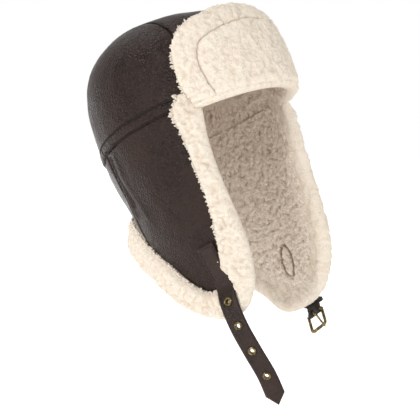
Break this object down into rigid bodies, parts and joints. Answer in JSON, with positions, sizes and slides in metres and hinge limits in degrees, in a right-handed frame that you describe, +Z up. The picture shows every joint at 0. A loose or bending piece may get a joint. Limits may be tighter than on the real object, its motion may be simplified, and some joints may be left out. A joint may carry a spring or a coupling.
{
  "type": "trapper hat",
  "caption": "Leather trapper hat with a fleece lining, a turned-up front flap, trimmed ear flaps, a chin strap with eyelets and a buckle on a tab.",
  "frame": {"origin": "inside the head opening, level with the temples, on the hat's plane of symmetry", "axes": "+Z up as worn on an upright head, the hat faces -Y, the wearer's right is -X and left is +X; the crown leans back 26 degrees"},
  "size_m": [0.1898, 0.2545, 0.3767],
  "materials": {
    "leather": "dark brown pebbled nappa, semi-gloss",
    "strap_leather": "dark brown smooth strap leather",
    "cream_fleece": "curly cream shearling",
    "taupe_fleece": "short taupe shearling",
    "antique_brass": "aged brass"
  },
  "bodies": {
    "hat": {"crown_right_panel": "leather", "crown_centre_panel": "leather", "crown_left_panel": "leather", "crown_lining": "taupe_fleece", "hat_band": "leather", "right_side_leather": "leather", "left_side_leather": "leather", "nape_leather": "leather", "neck_lining": "taupe_fleece", "nape_trim": "cream_fleece", "right_temple_trim": "cream_fleece", "left_temple_trim": "cream_fleece"},
    "front_flap": {"front_flap_leather": "leather", "front_flap_panel": "cream_fleece", "front_flap_border": "cream_fleece"},
    "right_flap": {"right_flap_leather": "leather", "right_flap_lining": "taupe_fleece", "right_flap_trim": "cream_fleece", "strap_sewn_end": "strap_leather"},
    "left_flap": {"left_flap_leather": "leather", "left_flap_lining": "taupe_fleece", "left_flap_trim": "cream_fleece", "tab_sewn_end": "strap_leather"},
    "strap": {"chin_strap": "strap_leather", "strap_eyelets": "antique_brass", "eyelet_washers": "antique_brass"},
    "tab": {"buckle_tab": "strap_leather", "keeper_loop": "strap_leather"},
    "buckle": {"buckle_frame": "antique_brass"},
    "prong": {"buckle_prong": "antique_brass"}
  },
  "joints": [
    {"name": "front_flap_fold", "type": "hinge", "parent": "hat", "child": "front_flap", "pos_m": [0, -0.08503, 0.07687], "axis": [1, 0, 0], "range_deg": [0, 110]},
    {"name": "right_flap_fold", "type": "hinge", "parent": "hat", "child": "right_flap", "pos_m": [-0.08552, -0.01568, -0.03187], "axis": [0.1761, 0.4684, -0.8658], "range_deg": [0, 90]},
    {"name": "left_flap_fold", "type": "hinge", "parent": "hat", "child": "left_flap", "pos_m": [0.08552, -0.01568, -0.03187], "axis": [0.1761, -0.4684, 0.8658], "range_deg": [0, 90]},
    {"name": "strap_swing", "type": "hinge", "parent": "right_flap", "child": "strap", "pos_m": [-0.07645, -0.08873, -0.10146], "axis": [-0.1219, 0.8921, -0.4351], "range_deg": [0, 90]},
    {"name": "tab_swing", "type": "hinge", "parent": "left_flap", "child": "tab", "pos_m": [0.07665, -0.07711, -0.11653], "axis": [0, -0.8988, 0.4384], "range_deg": [0, 90]},
    {"name": "buckle_swing", "type": "hinge", "parent": "tab", "child": "buckle", "pos_m": [0.0756, -0.0963, -0.15017], "axis": [-0.2028, -0.7892, 0.5798], "range_deg": [-60, 40]},
    {"name": "prong_swing", "type": "hinge", "parent": "buckle", "child": "prong", "pos_m": [0.0756, -0.0963, -0.15017], "axis": [-0.2028, -0.7892, 0.5798], "range_deg": [-13, 65]}
  ]
}
